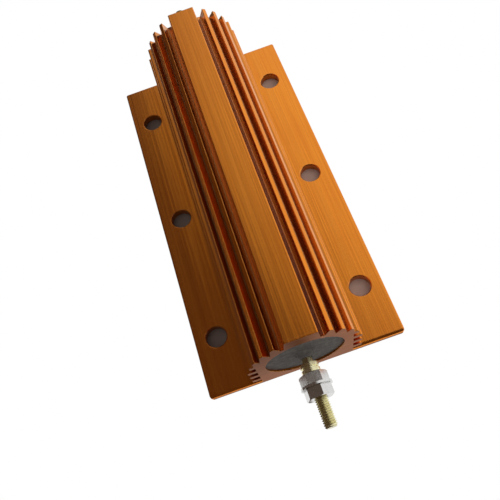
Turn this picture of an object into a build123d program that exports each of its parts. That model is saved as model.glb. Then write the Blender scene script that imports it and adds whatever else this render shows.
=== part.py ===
# Aluminium housed wirewound power resistor, flat on its mounting flange.
# One finned extrusion carries the bore and a flange with six bolt holes. Inside the bore a wound
# ceramic core is bedded in cement between two grey end seals, and a threaded stud leaves each end.
# Millimetres. X runs across the flange, Y along the body and Z up. The origin is the centre of the
# flange's underside.
from build123d import *
from math import cos, degrees, radians, sin, sqrt, tan
import os

os.makedirs("parts", exist_ok=True)

# Extrusion: the length it is sawn to and its flange
housing_length = 98.0
flange_width = 48.0
flange_thickness = 2.2
flange_corner_radius = 0.8
flange_edge_radius = 0.3

# Extrusion: the bore, and the metal left under it and beside it
bore_radius = 9.1
floor_wall = 2.4
side_wall = 2.0

# Extrusion: the flat land along the top, which stands on the metal left over the bore
land_half_width = 3.6
land_rise = 3.8
land_draft = 5.0
land_foot_wall = 0.9
land_edge_radius = 0.2

# Extrusion: saw-tooth fins on each upper side, placed by their angle from straight up.
# The wall is the metal left between the bore and each valley, from the land's foot to the side.
fin_reach = 3.7
fin_crest_first_angle = 27.4
fin_crest_pitch_angle = 14.7
fin_crest_width = 1.0
fin_valley_angles = (27.8, 42.7, 58.4, 72.9)
fin_valley_walls = (1.2, 1.4, 2.2, 2.8)
fin_edge_radius = 0.12

# Extrusion: level fins below them, like a comb on each side
level_fin_count = 4
level_fin_reach = 2.05
level_fin_thickness = 1.45
level_fin_gap = 2.05
level_fin_first_gap = 1.55
level_fin_edge_radius = 0.3

# Flange holes: two rows of three, set in from the flange's edges and ends
hole_radius = 2.6
hole_side_distance = 5.5
hole_end_distance = 14.0
holes_per_row = 3
hole_edge_break = 0.2

# Seals that close the bore, set back from the sawn ends and drawn up a little round the studs
seal_recess = 0.5
seal_thickness = 4.0
seal_mound_height = 1.4
seal_mound_foot_radius = 2.4
seal_mound_top_wall = 0.2

# Wound element: ceramic core, pressed end caps and the resistance winding
core_radius = 5.5
core_bore_radius = 2.4
core_end_gap = 3.4
cap_wall = 0.4
cap_depth = 6.0
turn_pitch = 2.2
turn_height = 0.8
turn_root = 0.25

# Terminal studs: a weld head, a plain shank, a ribbed collar and the thread. The thread is a plain
# cylinder at its outside radius where it is free, and at its pitch radius where a nut is screwed on.
shank_radius = 1.2
stud_radius = 1.5
thread_pitch_radius = 1.34
front_stud_reach = 16.0
rear_stud_reach = 14.8
stud_tip_chamfer = 0.35
weld_head_radius = 2.6
weld_head_thickness = 1.0
collar_start = 2.2
collar_root_radius = 1.7
collar_rib_radius = 2.1
collar_rib_width = 0.75
collar_rib_gap = 0.5
collar_rib_count = 2

# Nuts and washer on each stud; the inner nut stops just short of the collar
nut_across_flats = 5.5
nut_thickness = 2.4
nut_chamfer = 0.3
nut_countersink_clearance = 0.1
inner_nut_gap = 0.25
inner_nut_turn = 0.0
outer_nut_turn = 16.0
washer_radius = 3.5
washer_thickness = 0.5
washer_bore_clearance = 0.1

# Places that follow from the sizes above
half_length = housing_length / 2
hole_row_spacing = flange_width - 2 * hole_side_distance
hole_pitch = (housing_length - 2 * hole_end_distance) / (holes_per_row - 1)
bore_height = floor_wall + bore_radius
core_half_width = bore_radius + side_wall
fin_crest_radius = bore_radius + fin_reach
level_fin_half_width = core_half_width + level_fin_reach
level_fin_pitch = level_fin_thickness + level_fin_gap
level_fin_lowest = flange_thickness + level_fin_first_gap + level_fin_thickness / 2
land_foot_half_width = land_half_width + land_rise * tan(radians(land_draft))
land_foot_height = bore_height + sqrt((bore_radius + land_foot_wall) ** 2 - land_foot_half_width ** 2)
land_top = land_foot_height + land_rise

seal_face = half_length - seal_recess
seal_back = seal_face - seal_thickness
cap_face = seal_back - core_end_gap
head_face = cap_face + weld_head_thickness
core_half_length = cap_face - cap_wall
cap_mouth = cap_face - cap_depth
winding_radius = core_radius + turn_root + turn_height

collar_rib_pitch = collar_rib_width + collar_rib_gap
collar_tip = half_length + collar_start + collar_rib_count * collar_rib_pitch - collar_rib_gap
inner_nut_face = collar_tip + inner_nut_gap
washer_face = inner_nut_face + nut_thickness
outer_nut_face = washer_face + washer_thickness
free_thread_start = outer_nut_face + nut_thickness
countersink_radius = stud_radius + nut_countersink_clearance
countersink_depth = (countersink_radius - thread_pitch_radius) / tan(radians(60))


def round_bore(radius, angle):
    """A point at this radius from the bore's axis, turned by angle from straight up towards +X."""
    return (radius * sin(radians(angle)), bore_height + radius * cos(radians(angle)))


def face_inside(outline):
    """The flat face inside these corner points."""
    return make_face(Polyline(*outline, close=True))


def round_corners(face, points, radius):
    """The face with its corners nearest to these points rounded."""
    corners = [face.vertices().sort_by_distance(Vector(*point))[0] for point in points]
    return fillet(corners, radius)


def core_and_saw_teeth():
    """The core's section with the land and the saw-tooth fins of both upper sides."""
    side = [(land_half_width, land_top), (land_foot_half_width, land_foot_height)]
    crests = []
    crest_arc = degrees(fin_crest_width / fin_crest_radius)
    for i, (angle, wall) in enumerate(zip(fin_valley_angles, fin_valley_walls)):
        side.append(round_bore(bore_radius + wall, angle))
        if i < len(fin_valley_angles) - 1:
            crest_angle = fin_crest_first_angle + i * fin_crest_pitch_angle
            crest = [round_bore(fin_crest_radius, crest_angle),
                     round_bore(fin_crest_radius, crest_angle + crest_arc)]
            side += crest
            crests += crest
    side += [(core_half_width, side[-1][1]), (core_half_width, 0)]
    other_side = [(-x, z) for x, z in reversed(side)]
    crests += [(-x, z) for x, z in crests]
    section = round_corners(face_inside(side + other_side), crests, fin_edge_radius)
    return round_corners(section, [side[0], other_side[-1]], land_edge_radius)


def level_fin(height):
    """A pair of flat fins at this height. Above the bore's axis they end on the saw teeth's circle."""
    rise = max(0, height - bore_height)
    reach = sqrt(fin_crest_radius ** 2 - rise ** 2) if rise else level_fin_half_width
    low = height - level_fin_thickness / 2
    high = height + level_fin_thickness / 2
    outline = [(-reach, low), (reach, low), (reach, high), (-reach, high)]
    return round_corners(face_inside(outline), outline, level_fin_edge_radius)


def flange():
    """The flat foot that is bolted down, with its long edges eased."""
    half = flange_width / 2
    outline = [(-half, 0), (half, 0), (half, flange_thickness), (-half, flange_thickness)]
    return round_corners(face_inside(outline), outline, flange_edge_radius)


def extrusion_profile():
    """The section that the die gives the bar, drawn across X and up Z."""
    profile = core_and_saw_teeth() + flange()
    for i in range(level_fin_count):
        profile += level_fin(level_fin_lowest + i * level_fin_pitch)
    return profile - Pos(0, bore_height) * Circle(bore_radius)


def hole_places():
    """Centres of the flange holes, row by row."""
    first = -hole_pitch * (holes_per_row - 1) / 2
    return [(side * hole_row_spacing / 2, first + i * hole_pitch)
            for side in (-1, 1) for i in range(holes_per_row)]


def housing():
    """The sawn bar with its corners rounded and its flange drilled."""
    bar = extrude(Plane.XZ * extrusion_profile(), half_length, both=True)
    corners = [edge for edge in bar.edges().filter_by(Axis.Z)
               if abs(edge.center().X) > flange_width / 2 - flange_edge_radius]
    bar = fillet(corners, flange_corner_radius)
    for x, y in hole_places():
        bar -= Pos(x, y, flange_thickness / 2) * Cylinder(hole_radius, flange_thickness)
        for height in (0, flange_thickness):
            bar -= Pos(x, y, height) * edge_break(height == 0)
    return bar


def edge_break(underside):
    """The small cone that takes the sharp edge off one mouth of a hole."""
    wide = hole_radius + hole_edge_break
    low, high = (wide, hole_radius) if underside else (hole_radius, wide)
    place = hole_edge_break / 2 if underside else -hole_edge_break / 2
    return Pos(0, 0, place) * Cone(low, high, hole_edge_break)


def along_bore(outline):
    """A solid turned about the bore's axis from (distance along Y, radius) points."""
    half_section = face_inside([(radius, station) for station, radius in outline])
    return Pos(0, 0, bore_height) * revolve(half_section, Axis.Y)


def ring(start, end, inner, outer):
    """A plain ring round the bore's axis."""
    return along_bore([(start, inner), (end, inner), (end, outer), (start, outer)])


def at_rear(shape):
    """The same piece at the rear end, turned half round about Z."""
    return Rotation(0, 0, 180) * shape


def end_seal():
    """The grey moulded plug that closes one end of the bore, with a low mound round its stud."""
    mound_top = seal_face + seal_mound_height
    return along_bore([(-seal_back, shank_radius), (-seal_back, bore_radius), (-seal_face, bore_radius),
                       (-seal_face, seal_mound_foot_radius),
                       (-mound_top, shank_radius + seal_mound_top_wall), (-mound_top, shank_radius)])


def cement_filling():
    """The cement bedded between the wound element and the bore."""
    cap_radius = core_radius + cap_wall
    half = [(0, bore_radius), (seal_back, bore_radius), (seal_back, shank_radius),
            (head_face, shank_radius), (head_face, weld_head_radius),
            (cap_face, weld_head_radius), (cap_face, cap_radius),
            (cap_mouth, cap_radius), (cap_mouth, winding_radius), (0, winding_radius)]
    mirrored = [(-station, radius) for station, radius in reversed(half[1:-1])]
    return along_bore(half + mirrored)


def ceramic_core():
    """The tube that the wire is wound on."""
    return ring(-core_half_length, core_half_length, core_bore_radius, core_radius)


def end_cap():
    """The pressed cup on one end of the core, which the wire and the stud are welded to."""
    outer = core_radius + cap_wall
    return along_bore([(-cap_face, 0), (-cap_face, outer), (-cap_mouth, outer), (-cap_mouth, core_radius),
                       (-core_half_length, core_radius), (-core_half_length, 0)])


def resistance_winding():
    """The layer of turns between the caps, as one ridged sleeve on the core."""
    turns = int(2 * cap_mouth / turn_pitch)
    start = -cap_mouth
    pitch = 2 * cap_mouth / turns
    valley = core_radius + turn_root
    outline = [(start, core_radius), (start, valley)]
    for i in range(turns):
        outline += [(start + (i + 0.5) * pitch, winding_radius), (start + (i + 1) * pitch, valley)]
    outline += [(cap_mouth, core_radius)]
    return along_bore(outline)


def terminal_stud(reach):
    """One turned stud that ends this far from the sawn end: weld head, shank, ribbed collar and thread."""
    stud_tip = half_length + reach
    outline = [(cap_face, 0), (cap_face, weld_head_radius), (head_face, weld_head_radius),
               (head_face, shank_radius)]
    for i in range(collar_rib_count):
        rib = half_length + collar_start + i * collar_rib_pitch
        foot_radius = collar_root_radius if i else shank_radius
        outline += [(rib, foot_radius), (rib, collar_rib_radius), (rib + collar_rib_width, collar_rib_radius),
                    (rib + collar_rib_width, collar_root_radius)]
    outline += [(collar_tip, stud_radius), (inner_nut_face, stud_radius),
                (inner_nut_face, thread_pitch_radius), (free_thread_start, thread_pitch_radius),
                (free_thread_start, stud_radius), (stud_tip - stud_tip_chamfer, stud_radius),
                (stud_tip, stud_radius - stud_tip_chamfer), (stud_tip, 0)]
    return along_bore([(-station, radius) for station, radius in outline])


def hex_nut(face, turn):
    """A hexagon nut whose inner face is this far from the origin, turned about the stud."""
    far = face + nut_thickness
    corner_radius = nut_across_flats / sqrt(3)
    hexagon = RegularPolygon(corner_radius, 6, rotation=turn)
    start = Plane(origin=(0, -face, bore_height), x_dir=(1, 0, 0), z_dir=(0, -1, 0))
    blank = extrude(start * hexagon, nut_thickness)
    chamfer_depth = nut_chamfer * tan(radians(30))
    turned = along_bore([(-face, 0), (-face, corner_radius - nut_chamfer),
                         (-face - chamfer_depth, corner_radius), (-far + chamfer_depth, corner_radius),
                         (-far, corner_radius - nut_chamfer), (-far, 0)])
    bore = along_bore([(-face, 0), (-face, countersink_radius),
                       (-face - countersink_depth, thread_pitch_radius),
                       (-far + countersink_depth, thread_pitch_radius),
                       (-far, countersink_radius), (-far, 0)])
    return (blank & turned) - bore


def washer():
    """The plain washer between the two nuts."""
    return ring(-outer_nut_face, -washer_face, stud_radius + washer_bore_clearance, washer_radius)


pieces = {
    "housing": housing(),
    "cement_filling": cement_filling(),
    "ceramic_core": ceramic_core(),
    "resistance_winding": resistance_winding(),
    "front_terminal_stud": terminal_stud(front_stud_reach),
    "rear_terminal_stud": at_rear(terminal_stud(rear_stud_reach)),
}
same_at_both_ends = {
    "end_cap": end_cap(),
    "end_seal": end_seal(),
    "inner_nut": hex_nut(inner_nut_face, inner_nut_turn),
    "washer": washer(),
    "outer_nut": hex_nut(outer_nut_face, outer_nut_turn),
}
for name, shape in same_at_both_ends.items():
    pieces["front_" + name] = shape
    pieces["rear_" + name] = at_rear(shape)

for name, shape in pieces.items():
    export_step(shape, os.path.join("parts", name + ".step"))
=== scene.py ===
from math import radians

import bpy
from mathutils import Matrix, Vector


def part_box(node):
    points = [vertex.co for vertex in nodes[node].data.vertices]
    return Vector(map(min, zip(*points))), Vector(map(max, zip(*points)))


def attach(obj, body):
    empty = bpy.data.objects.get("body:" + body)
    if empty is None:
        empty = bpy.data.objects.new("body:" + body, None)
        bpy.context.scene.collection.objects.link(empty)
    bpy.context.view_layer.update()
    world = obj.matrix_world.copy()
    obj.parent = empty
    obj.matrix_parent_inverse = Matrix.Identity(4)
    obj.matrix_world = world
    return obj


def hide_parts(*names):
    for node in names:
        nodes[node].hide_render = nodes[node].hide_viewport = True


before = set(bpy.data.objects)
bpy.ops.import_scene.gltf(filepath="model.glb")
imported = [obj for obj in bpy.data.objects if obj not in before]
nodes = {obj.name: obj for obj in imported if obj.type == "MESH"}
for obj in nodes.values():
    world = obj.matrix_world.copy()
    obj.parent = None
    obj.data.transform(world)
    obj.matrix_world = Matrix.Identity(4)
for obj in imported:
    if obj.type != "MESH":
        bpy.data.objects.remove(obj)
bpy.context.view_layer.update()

# HOUSING
# One aluminium extrusion with fins, flange and bore, sawn to length and gold anodised. The anodising
# shows the die's fine lines along the length, and the sawn ends are duller and pinker.
mm = 0.001
housing_low, housing_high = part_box("housing")
land_half_width = 3.9
valley_width = 1.0
valley_fall = 0.40
sawn_skin = 0.03
edge_radius = 0.20
shelter_reach = 5


def material(name, metallic, roughness):
    """A new node material: (material, its node tree, its shader)."""
    made = bpy.data.materials.new(name)
    made.use_nodes = True
    shader = made.node_tree.nodes["Principled BSDF"]
    shader.inputs["Metallic"].default_value = metallic
    shader.inputs["Roughness"].default_value = roughness
    return made, made.node_tree, shader


def add(tree, kind, **settings):
    """A new node with its settings, and its unlinked inputs given by name."""
    node = tree.nodes.new(kind)
    for key, value in settings.items():
        if key == "inputs":
            for name, number in value.items():
                node.inputs[name].default_value = number
        else:
            setattr(node, key, value)
    return node


def place(tree, scale=(1, 1, 1), turn=(0, 0, 0), shift=(0, 0, 0)):
    """Object coordinates in metres, scaled, turned and shifted: the Vector output."""
    where = add(tree, "ShaderNodeTexCoord")
    mapping = add(tree, "ShaderNodeMapping", inputs={"Scale": scale, "Rotation": turn, "Location": shift})
    tree.links.new(where.outputs["Object"], mapping.inputs["Vector"])
    return mapping.outputs["Vector"]


def noise(tree, vector, scale, detail, roughness):
    """A noise texture's Fac output at scale features per metre."""
    node = add(tree, "ShaderNodeTexNoise", inputs={"Scale": scale, "Detail": detail, "Roughness": roughness})
    tree.links.new(vector, node.inputs["Vector"])
    return node.outputs["Fac"]


def ramp(tree, value, *stops):
    """A colour ramp over value, from (position, colour) stops: its Color output."""
    node = add(tree, "ShaderNodeValToRGB")
    elements = node.color_ramp.elements
    while len(elements) < len(stops):
        elements.new(0.5)
    for element, (position, colour) in zip(elements, stops):
        element.position = position
        element.color = (*colour, 1)
    tree.links.new(value, node.inputs["Fac"])
    return node.outputs["Color"]


def grey(level):
    """A grey of this level as a colour."""
    return (level, level, level)


def math_node(tree, operation, first, second=0.0):
    """A maths node on outputs or numbers: its Value output."""
    node = add(tree, "ShaderNodeMath", operation=operation)
    for socket, value in zip(node.inputs, (first, second)):
        if isinstance(value, (int, float)):
            socket.default_value = value
        else:
            tree.links.new(value, socket)
    return node.outputs["Value"]


def blend(tree, amount, first, second):
    """Two colours mixed by amount: its Result output. Each is an output or a colour."""
    node = add(tree, "ShaderNodeMix", data_type="RGBA")
    for name, kind, value in (("Factor", "VALUE", amount), ("A", "RGBA", first), ("B", "RGBA", second)):
        socket = [s for s in node.inputs if s.name == name and s.type == kind][0]
        if isinstance(value, tuple):
            socket.default_value = (*value, 1)
        else:
            tree.links.new(value, socket)
    return [s for s in node.outputs if s.type == "RGBA"][0]


def bump(tree, height, distance, strength=1.0, under=None):
    """A bump of this height in metres over under: its Normal output."""
    node = add(tree, "ShaderNodeBump", inputs={"Strength": strength, "Distance": distance})
    tree.links.new(height, node.inputs["Height"])
    if under:
        tree.links.new(under, node.inputs["Normal"])
    return node.outputs["Normal"]


def part_of(tree, vector, axis):
    """One axis of a vector output."""
    node = add(tree, "ShaderNodeSeparateXYZ")
    tree.links.new(vector, node.inputs["Vector"])
    return node.outputs[axis]


def edges_of(tree, radius):
    """Normals rounded at the edges, and a mask that is 1 on the flats and lower at the edges."""
    rounded = add(tree, "ShaderNodeBevel", samples=4, inputs={"Radius": radius})
    surface = add(tree, "ShaderNodeNewGeometry")
    facing = add(tree, "ShaderNodeVectorMath", operation="DOT_PRODUCT")
    tree.links.new(rounded.outputs["Normal"], facing.inputs[0])
    tree.links.new(surface.outputs["True Normal"], facing.inputs[1])
    return rounded.outputs["Normal"], facing.outputs["Value"]


def gold_anodising():
    """Gold-orange anodised aluminium with the die's lines, rubbed edges, painted shade between the fins and
    matt sawn ends.
    """
    made, tree, shader = material("gold_anodising", 1.0, 0.3)
    spot = place(tree)
    lines = noise(tree, place(tree, (1, 0.010, 1)), 3400, 3.0, 0.6)
    ridges = noise(tree, place(tree, (1, 0.006, 1), shift=(5.3, 0, 0)), 1300, 2.0, 0.5)
    streaks = noise(tree, place(tree, (1, 0.02, 1), shift=(3.1, 0, 0)), 420, 3.0, 0.55)
    clouds = noise(tree, spot, 55, 3.0, 0.5)
    gold = ramp(tree, lines, (0.28, (0.68, 0.200, 0.014)), (0.5, (0.78, 0.242, 0.018)),
                (0.74, (0.87, 0.295, 0.026)))
    bright_streaks = ramp(tree, streaks, (0.45, grey(0)), (0.75, grey(0.4)))
    gold = blend(tree, bright_streaks, gold, (0.93, 0.335, 0.035))
    deep_clouds = ramp(tree, clouds, (0.35, grey(0)), (0.75, grey(0.3)))
    gold = blend(tree, deep_clouds, gold, (0.68, 0.180, 0.014))
    # The dye is rubbed thin along the edges. Deep between the fins the gold is painted darker and duller:
    # painted shade.
    round_normal, flatness = edges_of(tree, edge_radius * mm)
    rubbed = ramp(tree, flatness, (0.80, grey(0.8)), (0.97, grey(0)))
    gold = blend(tree, rubbed, gold, (0.95, 0.60, 0.28))
    # Painted shade: where the fins shelter it, the gold is darkened towards a dull brown.
    sheltered = add(tree, "ShaderNodeAmbientOcclusion", samples=4, only_local=True,
                    inputs={"Distance": shelter_reach * mm})
    painted_fin_shade = ramp(tree, sheltered.outputs["AO"], (0.2, grey(0.8)), (0.6, grey(0)))
    gold = blend(tree, painted_fin_shade, gold, (0.43, 0.25, 0.12))
    # The sawn ends are paler, matt and crossed by the saw's marks.
    along = math_node(tree, "ABSOLUTE", part_of(tree, spot, "Y"))
    sawn = math_node(tree, "GREATER_THAN", along, housing_high.y - sawn_skin * mm)
    saw_marks = noise(tree, place(tree, (0.08, 1, 1), turn=(0, radians(8), 0)), 3800, 2.0, 0.5)
    cut = ramp(tree, saw_marks, (0.3, (0.30, 0.098, 0.030)), (0.7, (0.42, 0.155, 0.052)))
    tree.links.new(blend(tree, sawn, gold, cut), shader.inputs["Base Color"])
    rough = ramp(tree, streaks, (0.3, grey(0.16)), (0.7, grey(0.23)))
    tree.links.new(blend(tree, sawn, rough, grey(0.6)), shader.inputs["Roughness"])
    # Each valley's floor beside the land falls away round the bore, as the die's corner leaves it.
    across = math_node(tree, "ABSOLUTE", part_of(tree, spot, "X"))
    into_valley = math_node(tree, "SUBTRACT", across, land_half_width * mm)
    into_valley = math_node(tree, "MAXIMUM", into_valley, 0.0)
    into_valley = math_node(tree, "MINIMUM", into_valley, valley_width * mm)
    fall = bump(tree, math_node(tree, "MULTIPLY", into_valley, -valley_fall), 1.0, 1.0, round_normal)
    grain = bump(tree, lines, 0.010 * mm, 1.0, fall)
    grain = bump(tree, ridges, 0.020 * mm, 1.0, grain)
    tree.links.new(bump(tree, saw_marks, 0.012 * mm, 0.5, grain), shader.inputs["Normal"])
    coat = math_node(tree, "MULTIPLY", math_node(tree, "SUBTRACT", 1.0, sawn), 0.3)
    tree.links.new(coat, shader.inputs["Coat Weight"])
    shader.inputs["Coat Roughness"].default_value = 0.3
    return made


def wear(node, made):
    """Gives a CAD node's object this material in every slot."""
    node.data.materials.clear()
    node.data.materials.append(made)


wear(nodes["housing"], gold_anodising())

# END SEALS
# Dark grey cement moulded into each end of the bore round its terminal. It is matt, mottled and
# slightly pitted, and sits a little back from the sawn end.
ends = ("front", "rear")


def seal_cement():
    """Dark grey moulded cement."""
    made, tree, shader = material("seal_cement", 0.0, 0.8)
    mottle = noise(tree, place(tree), 700, 6.0, 0.65)
    grit = noise(tree, place(tree, shift=(2, 0, 0)), 4200, 4.0, 0.7)
    colour = ramp(tree, mottle, (0.3, (0.044, 0.037, 0.033)), (0.5, (0.072, 0.063, 0.055)),
                  (0.72, (0.118, 0.105, 0.090)))
    tree.links.new(colour, shader.inputs["Base Color"])
    tree.links.new(ramp(tree, grit, (0.3, grey(0.7)), (0.7, grey(0.9))), shader.inputs["Roughness"])
    coarse = bump(tree, mottle, 0.08 * mm)
    tree.links.new(bump(tree, grit, 0.03 * mm, 1.0, coarse), shader.inputs["Normal"])
    return made


seal_finish = seal_cement()
for end in ends:
    wear(nodes[end + "_end_seal"], seal_finish)

# TERMINAL STUDS
# A brass stud at each end, turned with a ribbed collar and cut with a fine M3 thread. It is modelled
# in millimetres along Z, with the thread screwed round turn by turn, and replaces the plain stud.
bore_height = 11.5
stud_root_depth = 0.4
shank_radius = 1.2
rib_radius, rib_root_radius = 2.1, 1.7
collar_start, rib_width, rib_gap = 2.2, 0.75, 0.5
collar_end = collar_start + 2 * rib_width + rib_gap
thread_pitch = 0.5
thread_crest, thread_root = 1.48, 1.20
thread_steps = 32
core_radius, core_length = thread_root - 0.05, 0.3
tip_chamfer = 0.4
blank_margin = 0.3


def pale_brass():
    """Pale yellow turned brass, with painted shade that darkens and dulls the thread's roots."""
    made, tree, shader = material("pale_brass", 1.0, 0.25)
    spot = place(tree, shift=(0, 0, -bore_height * mm))
    patches = noise(tree, spot, 900, 4.0, 0.6)
    colour = ramp(tree, patches, (0.3, (0.80, 0.74, 0.42)), (0.6, (0.90, 0.86, 0.57)),
                  (0.8, (0.94, 0.92, 0.68)))
    across, up = part_of(tree, spot, "X"), part_of(tree, spot, "Z")
    across_squared = math_node(tree, "MULTIPLY", across, across)
    squares = math_node(tree, "ADD", across_squared, math_node(tree, "MULTIPLY", up, up))
    depth = math_node(tree, "DIVIDE", math_node(tree, "SQRT", squares), thread_crest * mm)
    # Painted shade: the thread's roots are darkened towards a dull brown.
    root = ramp(tree, depth, (0.80, grey(0.5)), (0.95, grey(0)))
    tree.links.new(blend(tree, root, colour, (0.46, 0.40, 0.20)), shader.inputs["Base Color"])
    tree.links.new(ramp(tree, patches, (0.3, grey(0.34)), (0.7, grey(0.2))), shader.inputs["Roughness"])
    tree.links.new(bump(tree, patches, 0.01 * mm), shader.inputs["Normal"])
    return made


def turn_step(radius, new_radius, length):
    """Steps the selected end face of a turned blank to a new radius, then draws it out by length."""
    if new_radius != radius:
        bpy.ops.mesh.extrude_region_move(TRANSFORM_OT_translate={"value": (0, 0, 0)})
        bpy.ops.transform.resize(value=(new_radius / radius, new_radius / radius, 1))
    bpy.ops.mesh.extrude_region_move(TRANSFORM_OT_translate={"value": (0, 0, length)})
    return new_radius


def turned_blank(name, start, start_radius, steps):
    """A closed turned bar from (radius, length) steps along Z."""
    bpy.ops.object.select_all(action="DESELECT")
    bpy.ops.mesh.primitive_circle_add(vertices=48, radius=start_radius, fill_type="NGON",
                                      location=(0, 0, start))
    bar = bpy.context.object
    bpy.ops.object.transform_apply(location=True, rotation=True, scale=True)
    bpy.ops.object.mode_set(mode="EDIT")
    bpy.ops.mesh.select_mode(type="FACE")
    bpy.ops.mesh.select_all(action="SELECT")
    radius = start_radius
    for new_radius, length in steps:
        radius = turn_step(radius, new_radius, length)
    bpy.ops.mesh.select_all(action="SELECT")
    bpy.ops.mesh.normals_make_consistent(inside=False)
    bpy.ops.object.mode_set(mode="OBJECT")
    bar.name = name
    return bar


def thread(start, end):
    """A closed screw thread along Z from start to end, screwed round from one turn's outline."""
    bpy.ops.object.select_all(action="DESELECT")
    bpy.ops.mesh.primitive_plane_add(size=1, location=(0, 0, 0))
    screw = bpy.context.object
    bpy.ops.object.mode_set(mode="EDIT")
    bpy.ops.mesh.select_mode(type="VERT")
    bpy.ops.mesh.select_all(action="SELECT")
    bpy.ops.mesh.merge(type="CENTER")
    bpy.ops.transform.translate(value=(thread_root, 0, start - 2 * thread_pitch))
    root_flat, flank, crest_flat = 0.16 * thread_pitch, 0.36 * thread_pitch, 0.12 * thread_pitch
    rise = thread_crest - thread_root
    for step in ((0, 0, root_flat), (rise, 0, flank), (0, 0, crest_flat), (-rise, 0, flank)):
        bpy.ops.mesh.extrude_region_move(TRANSFORM_OT_translate={"value": step})
    bpy.ops.object.mode_set(mode="OBJECT")
    wind = screw.modifiers.new("wind", "SCREW")
    wind.screw_offset = thread_pitch
    wind.iterations = int((end - start) / thread_pitch) + 4
    wind.steps = thread_steps
    wind.render_steps = thread_steps
    wind.use_merge_vertices = True
    bpy.ops.object.modifier_apply(modifier="wind")
    bpy.ops.object.mode_set(mode="EDIT")
    for height, above in ((start, False), (end, True)):
        bpy.ops.mesh.select_all(action="SELECT")
        bpy.ops.mesh.remove_doubles(threshold=1e-4)
        bpy.ops.mesh.bisect(plane_co=(0, 0, height), plane_no=(0, 0, 1), use_fill=True,
                            clear_outer=above, clear_inner=not above)
    bpy.ops.mesh.select_all(action="SELECT")
    bpy.ops.mesh.normals_make_consistent(inside=False)
    bpy.ops.object.mode_set(mode="OBJECT")
    return screw


def chamfered_bar(reach):
    """A plain bar round the thread, with the chamfer of the stud's tip at its far end."""
    bar = turned_blank("bar", collar_end - 1, thread_crest + blank_margin, [
        (thread_crest + blank_margin, reach + 1 - collar_end)])
    bpy.ops.object.mode_set(mode="EDIT")
    bpy.ops.mesh.select_mode(type="FACE")
    bpy.ops.mesh.select_all(action="DESELECT")
    bpy.ops.object.mode_set(mode="OBJECT")
    max(bar.data.polygons, key=lambda face: face.center.z).select = True
    bpy.ops.object.mode_set(mode="EDIT")
    bpy.ops.mesh.bevel(offset=blank_margin + tip_chamfer, segments=1, affect="EDGES")
    bpy.ops.object.mode_set(mode="OBJECT")
    return bar


def cut_with(piece, tool, operation):
    """The piece cut by, or joined to, the tool, which is used up."""
    edit = piece.modifiers.new("cut", "BOOLEAN")
    edit.operation = operation
    edit.object = tool
    edit.solver = "EXACT"
    bpy.ops.object.select_all(action="DESELECT")
    piece.select_set(True)
    bpy.context.view_layer.objects.active = piece
    bpy.ops.object.modifier_apply(modifier="cut")
    bpy.data.objects.remove(tool)


def threaded_stud(end, outward, reach):
    """The stud at one end, which reaches this far out of the sawn end towards outward on Y."""
    body = turned_blank(end + "_threaded_stud", -stud_root_depth, shank_radius, [
        (shank_radius, collar_start + stud_root_depth), (rib_radius, rib_width), (rib_root_radius, rib_gap),
        (rib_radius, rib_width), (core_radius, core_length)])
    screw = thread(collar_end, reach)
    cut_with(screw, chamfered_bar(reach), "INTERSECT")
    cut_with(body, screw, "UNION")
    body.scale = (mm, mm, mm)
    body.rotation_euler = (radians(-90 * outward), 0, 0)
    body.location = (0, outward * housing_high.y, bore_height * mm)
    bpy.ops.object.transform_apply(location=True, rotation=True, scale=True)
    bpy.ops.object.shade_smooth_by_angle(angle=radians(28))
    body.data.materials.clear()
    body.data.materials.append(stud_finish)
    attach(body, "root")
    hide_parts(end + "_terminal_stud")


stud_finish = pale_brass()
front_reach = -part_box("front_terminal_stud")[0].y / mm - housing_high.y / mm
rear_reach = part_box("rear_terminal_stud")[1].y / mm - housing_high.y / mm
threaded_stud("front", -1, front_reach)
threaded_stud("rear", 1, rear_reach)
for end in ends:
    wear(nodes[end + "_terminal_stud"], stud_finish)

# NUTS AND WASHERS
# Two steel nuts and a thin washer on each stud, bright zinc plated. The plating is smooth on the
# flats, with faint drawing lines and small scuffs.


def zinc_plate():
    """Bright zinc plate on steel."""
    made, tree, shader = material("zinc_plate", 1.0, 0.2)
    drawn = noise(tree, place(tree, (1, 0.05, 1)), 3000, 3.0, 0.5)
    patches = noise(tree, place(tree), 600, 4.0, 0.6)
    colour = ramp(tree, patches, (0.3, (0.60, 0.59, 0.57)), (0.7, (0.74, 0.74, 0.73)))
    tree.links.new(colour, shader.inputs["Base Color"])
    tree.links.new(ramp(tree, patches, (0.3, grey(0.16)), (0.7, grey(0.3))), shader.inputs["Roughness"])
    tree.links.new(bump(tree, drawn, 0.006 * mm), shader.inputs["Normal"])
    return made


zinc_finish = zinc_plate()
for end in ends:
    for piece in ("inner_nut", "washer", "outer_nut"):
        wear(nodes[end + "_" + piece], zinc_finish)

# INSIDE OF THE BORE
# The wound ceramic core, its pressed end caps and the cement round them. They are sealed in and never
# seen, and get plain finishes of their own.


def hidden(name, metallic, roughness, dark, light):
    """A mottled finish for a piece that is sealed in."""
    made, tree, shader = material(name, metallic, roughness)
    mottle = noise(tree, place(tree), 800, 4.0, 0.6)
    tree.links.new(ramp(tree, mottle, (0.3, dark), (0.7, light)), shader.inputs["Base Color"])
    tree.links.new(bump(tree, mottle, 0.03 * mm), shader.inputs["Normal"])
    return made


wear(nodes["cement_filling"], hidden("cement", 0.0, 0.9, (0.42, 0.40, 0.36), (0.56, 0.54, 0.50)))
wear(nodes["ceramic_core"], hidden("ceramic", 0.0, 0.7, (0.78, 0.76, 0.70), (0.88, 0.87, 0.82)))
wear(nodes["resistance_winding"], hidden("resistance_wire", 1.0, 0.4, (0.30, 0.29, 0.27), (0.48, 0.46, 0.43)))
cap_finish = hidden("pressed_steel", 1.0, 0.35, (0.42, 0.42, 0.42), (0.58, 0.58, 0.58))
for end in ends:
    wear(nodes[end + "_end_cap"], cap_finish)
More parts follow.
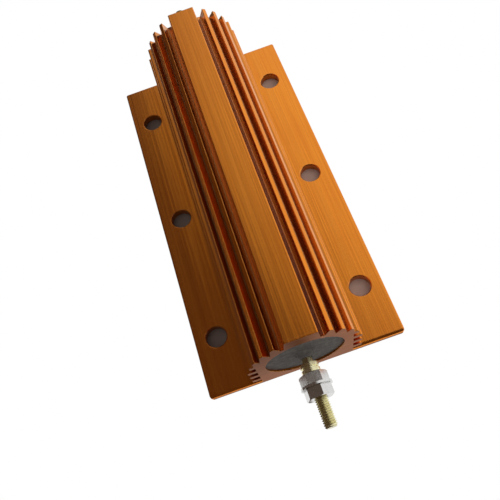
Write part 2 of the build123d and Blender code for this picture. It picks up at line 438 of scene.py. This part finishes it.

# FLOOR, LIGHT AND CAMERA
# A white floor in a plain white surround, and a warm grey sheet under the flange, seen in its holes.
# A round brown screen, seen only in the metal, glows though it is no lamp: painted dark reflections, open to
# the right and behind. The camera is worked out from the flange's corners and its holes in the photograph.
floor_size = 4.0
floor_depth, board_depth, table_depth = 0.03, 0.02, 0.01
table_inset = 0.8
white = (1, 1, 1, 1)
# The glow of the painted reflections on the screen and the boards.
brown = (0.105, 0.076, 0.060, 1)
screen_radius = 1.0
board_far = 500
focal_length, photo_width = 563.32, 500
sensor_width = 36.0
camera_place = Vector((-3.225, -80.767, 132.212))
camera_right = Vector((0.94239, -0.29774, -0.15248))
camera_up = Vector((0.33449, 0.84387, 0.41953))


def sheet(name, width, length, height, made):
    """A flat sheet centred under the object at this height."""
    bpy.ops.object.select_all(action="DESELECT")
    bpy.ops.mesh.primitive_plane_add(size=1, location=(0, 0, height))
    laid = bpy.context.object
    laid.scale = (width, length, 1)
    bpy.ops.object.transform_apply(location=True, rotation=True, scale=True)
    laid.name = name
    laid.data.materials.append(made)
    return laid


def painted_reflection_glow(name):
    """An even brown glow that is no lamp, for painted reflections: (material, its tree, its glow output, its
    Surface input).
    """
    made, tree, shader = material(name, 0.0, 0.5)
    made.cycles.emission_sampling = "NONE"
    tree.nodes.remove(shader)
    even = add(tree, "ShaderNodeEmission", inputs={"Color": brown, "Strength": 1.0})
    return made, tree, even.outputs["Emission"], tree.nodes["Material Output"].inputs["Surface"]


# The floor looks plain white to the camera and in metal or glass.
floor_finish, floor_tree, floor_shader = material("white_floor", 0.0, 0.9)
floor_shader.inputs["Base Color"].default_value = (0.78, 0.74, 0.71, 1)
plain_white = add(floor_tree, "ShaderNodeEmission", inputs={"Color": white, "Strength": 1.0})
path = add(floor_tree, "ShaderNodeLightPath")
seen = math_node(floor_tree, "MAXIMUM", path.outputs["Is Camera Ray"], path.outputs["Is Glossy Ray"])
seen = math_node(floor_tree, "MAXIMUM", seen, path.outputs["Is Transmission Ray"])
floor_mix = add(floor_tree, "ShaderNodeMixShader")
floor_tree.links.new(seen, floor_mix.inputs["Fac"])
floor_tree.links.new(floor_shader.outputs["BSDF"], floor_mix.inputs[1])
floor_tree.links.new(plain_white.outputs["Emission"], floor_mix.inputs[2])
floor_tree.links.new(floor_mix.outputs["Shader"], floor_tree.nodes["Material Output"].inputs["Surface"])
sheet("floor", floor_size, floor_size, -floor_depth * mm, floor_finish)

# The sheet under the flange is painted darker towards the left: a painted shadow of the finned body, seen in
# the left holes.
table_grey, table_tree, table_shader = material("warm_grey_table", 0.0, 0.8)
table_spot = place(table_tree)
mottle = noise(table_tree, table_spot, 300, 3.0, 0.5)
table_colour = ramp(table_tree, mottle, (0.3, (0.38, 0.25, 0.20)), (0.7, (0.44, 0.30, 0.24)))
to_right = math_node(table_tree, "DIVIDE", part_of(table_tree, table_spot, "X"), housing_high.x)
painted_body_shadow = ramp(table_tree, to_right, (0.0, grey(0.85)), (0.6, grey(0)))
table_colour = blend(table_tree, painted_body_shadow, table_colour, (0.03, 0.018, 0.012))
table_tree.links.new(table_colour, table_shader.inputs["Base Color"])
inset = table_inset * mm
sheet("table_under_flange", 2 * (housing_high.x - inset), 2 * (housing_high.y - inset),
      -table_depth * mm, table_grey)

world = bpy.data.worlds.new("studio")
bpy.context.scene.world = world
world.use_nodes = True
world.node_tree.nodes["Background"].inputs["Color"].default_value = white
world.node_tree.nodes["Background"].inputs["Strength"].default_value = 1.0

# The screen thins out towards its open side, in two soft steps.
screen_glow_material, screen_tree, screen_glow, screen_surface = painted_reflection_glow("painted_reflection_screen")
towards_window = add(screen_tree, "ShaderNodeVectorMath", operation="DOT_PRODUCT")
towards_window.inputs[1].default_value = Vector((0.80, 0.45, 0.35)).normalized()
screen_tree.links.new(place(screen_tree), towards_window.inputs[0])
opening = ramp(screen_tree, towards_window.outputs["Value"], (0.488, grey(0)), (0.505, grey(0.48)),
               (0.60, grey(0.46)), (0.65, grey(1)))
gap = add(screen_tree, "ShaderNodeBsdfTransparent")
hung = add(screen_tree, "ShaderNodeMixShader")
screen_tree.links.new(opening, hung.inputs["Fac"])
screen_tree.links.new(screen_glow, hung.inputs[1])
screen_tree.links.new(gap.outputs["BSDF"], hung.inputs[2])
screen_tree.links.new(hung.outputs["Shader"], screen_surface)
bpy.ops.object.select_all(action="DESELECT")
bpy.ops.mesh.primitive_uv_sphere_add(segments=64, ring_count=32, radius=screen_radius, location=(0, 0, 0))
screen = bpy.context.object
screen.name = "painted_reflection_screen"
screen.data.materials.append(screen_glow_material)
screen.visible_camera = False
screen.visible_diffuse = False

# Two brown boards glow like the screen and carry its painted reflections on over the floor, left of the
# flange and in front on the left.
board_glow_material, board_tree, board_glow, board_surface = painted_reflection_glow("painted_reflection_board")
board_tree.links.new(board_glow, board_surface)
boards = (("left_board", -24.5, -board_far, board_far, 0), ("front_board", -2.0, -board_far, -60, 0.002))
for name, right_edge, front, back, lift in boards:
    laid = sheet(name, (right_edge + board_far) * mm, (back - front) * mm, -board_depth * mm, board_glow_material)
    laid.location = ((right_edge - board_far) / 2 * mm, (front + back) / 2 * mm, lift * mm)
    bpy.ops.object.transform_apply(location=True, rotation=False, scale=False)
    laid.visible_camera = False
    laid.visible_diffuse = False

camera_data = bpy.data.cameras.new("camera")
camera_data.sensor_width = sensor_width
camera_data.lens = focal_length / photo_width * sensor_width
camera_data.clip_start = 5 * mm
camera = bpy.data.objects.new("camera", camera_data)
bpy.context.scene.collection.objects.link(camera)
turned = Matrix((camera_right, camera_up, camera_right.cross(camera_up))).transposed().to_4x4()
camera.matrix_world = Matrix.Translation(camera_place * mm) @ turned
bpy.context.scene.camera = camera
bpy.context.scene.view_settings.view_transform = "Standard"
